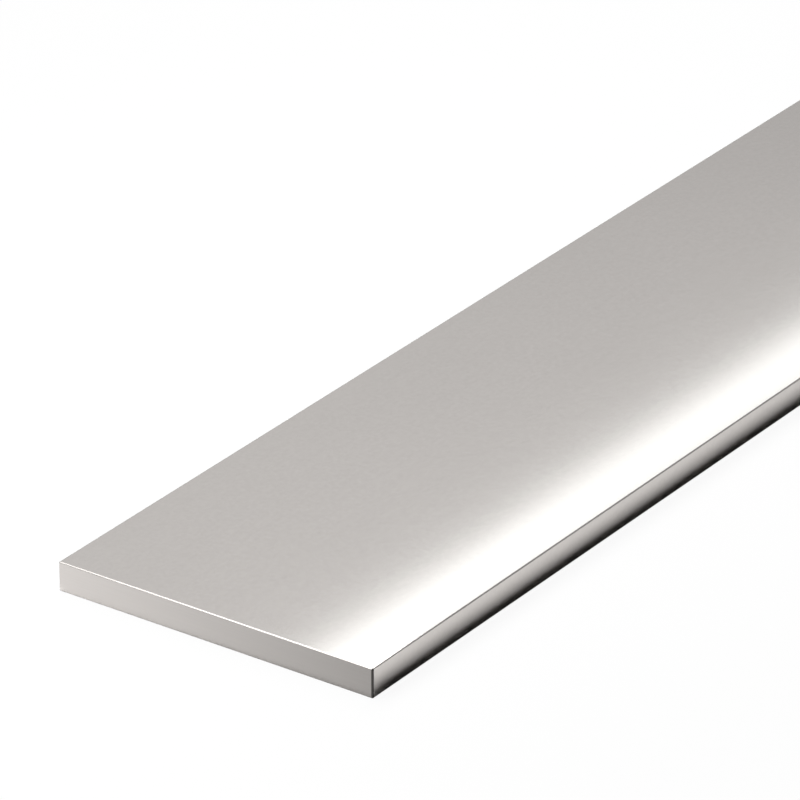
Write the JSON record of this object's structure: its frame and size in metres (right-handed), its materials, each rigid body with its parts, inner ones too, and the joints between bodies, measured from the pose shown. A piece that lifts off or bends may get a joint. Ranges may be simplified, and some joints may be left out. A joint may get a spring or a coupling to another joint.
{
  "type": "metal flat bar",
  "caption": "Bright metal flat bar of plain rectangular section, with lightly rounded arrises and square sawn ends.",
  "frame": {"origin": "centre of the wide face that the bar lies on", "axes": "+X along the bar, +Y across its width, +Z through its thickness, up from the face it lies on"},
  "size_m": [1, 0.07, 0.006],
  "materials": {
    "bright_stainless": "bright drawn, fine satin"
  },
  "bodies": {
    "root": {"flat_bar": "bright_stainless"}
  },
  "joints": []
}
